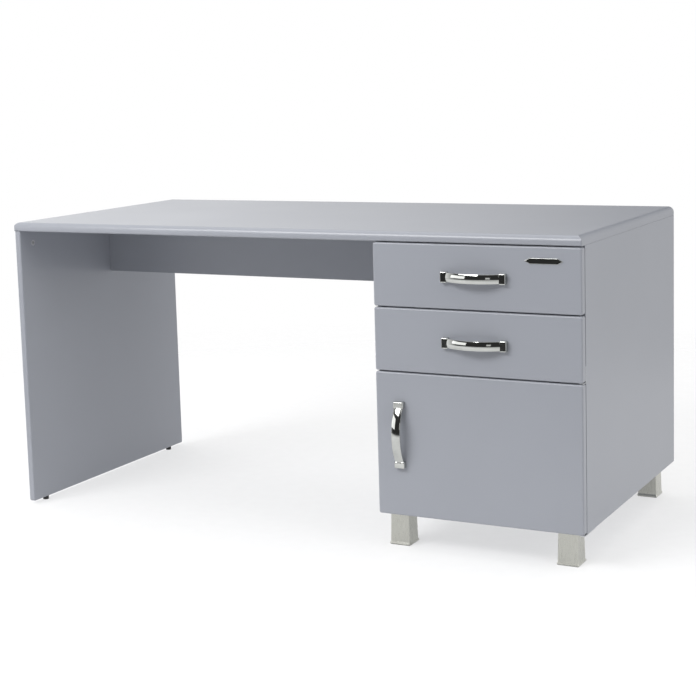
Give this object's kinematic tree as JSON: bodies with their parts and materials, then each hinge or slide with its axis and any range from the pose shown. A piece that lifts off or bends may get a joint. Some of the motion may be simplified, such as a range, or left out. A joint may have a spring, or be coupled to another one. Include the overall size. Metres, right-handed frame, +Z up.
{
  "type": "writing desk with drawers",
  "caption": "Writing desk: a rounded desktop on an end panel and on a pedestal that holds drawers over a door and stands on square metal legs.",
  "frame": {"origin": "on the floor, under the middle of the overall box, handles included", "axes": "+X to the right seen from the front, +Y from the front to the back, +Z up"},
  "size_m": [1.5, 0.729, 0.73],
  "materials": {
    "lacquered_board": "satin grey-blue lacquer on fibreboard",
    "carcass_board": "matt grey-blue foil on particle board",
    "drawer_board": "matt light grey foil",
    "hardboard": "painted hardboard",
    "chrome": "polished",
    "satin_metal": "satin nickel",
    "zinc_plated_steel": "bright zinc plated",
    "zinc_cast": "as cast",
    "brass": "machined",
    "beech": "bare",
    "rubber": "matt",
    "black_plastic": "moulded",
    "white_plastic": "moulded",
    "clear_plastic": "soft, translucent"
  },
  "bodies": {
    "desk": {"adjustable_shelf": "carcass_board", "cam_bolts": "zinc_plated_steel", "cam_housings": "zinc_cast", "case_screws": "zinc_plated_steel", "desktop": "lacquered_board", "door_catch": "black_plastic", "drawer_divider": "carcass_board", "end_panel": "lacquered_board", "front_bumpers": "clear_plastic", "hinge_bracket_lower": "zinc_plated_steel", "hinge_bracket_upper": "zinc_plated_steel", "leg_front_left": "satin_metal", "leg_front_right": "satin_metal", "leg_inserts": "brass", "leg_pads": "rubber", "leg_rear_left": "satin_metal", "leg_rear_right": "satin_metal", "leg_studs": "zinc_plated_steel", "lower_drawer_slide_outer_left": "zinc_plated_steel", "lower_drawer_slide_outer_right": "zinc_plated_steel", "modesty_panel": "lacquered_board", "panel_glides": "black_plastic", "pedestal_back": "hardboard", "pedestal_bottom": "lacquered_board", "pedestal_side_left": "lacquered_board", "pedestal_side_right": "lacquered_board", "shelf_pins": "zinc_plated_steel", "top_rail_front": "carcass_board", "top_rail_rear": "carcass_board", "upper_drawer_slide_outer_left": "zinc_plated_steel", "upper_drawer_slide_outer_right": "zinc_plated_steel", "wooden_dowels": "beech"},
    "upper_drawer": {"upper_drawer_front": "lacquered_board", "upper_drawer_inner_front": "drawer_board", "upper_drawer_side_left": "drawer_board", "upper_drawer_side_right": "drawer_board", "upper_drawer_back": "drawer_board", "upper_drawer_bottom": "hardboard", "upper_drawer_handle": "chrome", "upper_drawer_handle_screws": "zinc_plated_steel", "upper_drawer_screws": "zinc_plated_steel", "upper_drawer_slide_inner": "zinc_plated_steel", "accent_bar": "chrome"},
    "upper_slide": {"upper_drawer_slide_middle": "zinc_plated_steel"},
    "lower_drawer": {"lower_drawer_front": "lacquered_board", "lower_drawer_inner_front": "drawer_board", "lower_drawer_side_left": "drawer_board", "lower_drawer_side_right": "drawer_board", "lower_drawer_back": "drawer_board", "lower_drawer_bottom": "hardboard", "lower_drawer_handle": "chrome", "lower_drawer_handle_screws": "zinc_plated_steel", "lower_drawer_screws": "zinc_plated_steel", "lower_drawer_slide_inner": "zinc_plated_steel"},
    "lower_slide": {"lower_drawer_slide_middle": "zinc_plated_steel"},
    "door": {"door_panel": "lacquered_board", "door_bushings": "white_plastic", "door_handle": "chrome", "door_handle_screws": "zinc_plated_steel", "door_strike_plate": "zinc_plated_steel"}
  },
  "joints": [
    {"name": "upper_drawer_slide", "type": "slide", "parent": "desk", "child": "upper_drawer", "axis": [0, -1, 0], "range_m": [0, 0.5]},
    {"name": "upper_runner_slide", "type": "slide", "parent": "desk", "child": "upper_slide", "axis": [0, -1, 0], "range_m": [0, 0.25]},
    {"name": "lower_drawer_slide", "type": "slide", "parent": "desk", "child": "lower_drawer", "axis": [0, -1, 0], "range_m": [0, 0.5]},
    {"name": "lower_runner_slide", "type": "slide", "parent": "desk", "child": "lower_slide", "axis": [0, -1, 0], "range_m": [0, 0.25]},
    {"name": "door_swing", "type": "hinge", "parent": "desk", "child": "door", "pos_m": [0.744, -0.3235, 0.25], "axis": [0, 0, 1], "range_deg": [0, 105]}
  ],
  "couplings": [
    {"joint": "upper_runner_slide", "follows": "upper_drawer_slide", "ratio": 0.5},
    {"joint": "lower_runner_slide", "follows": "lower_drawer_slide", "ratio": 0.5}
  ]
}
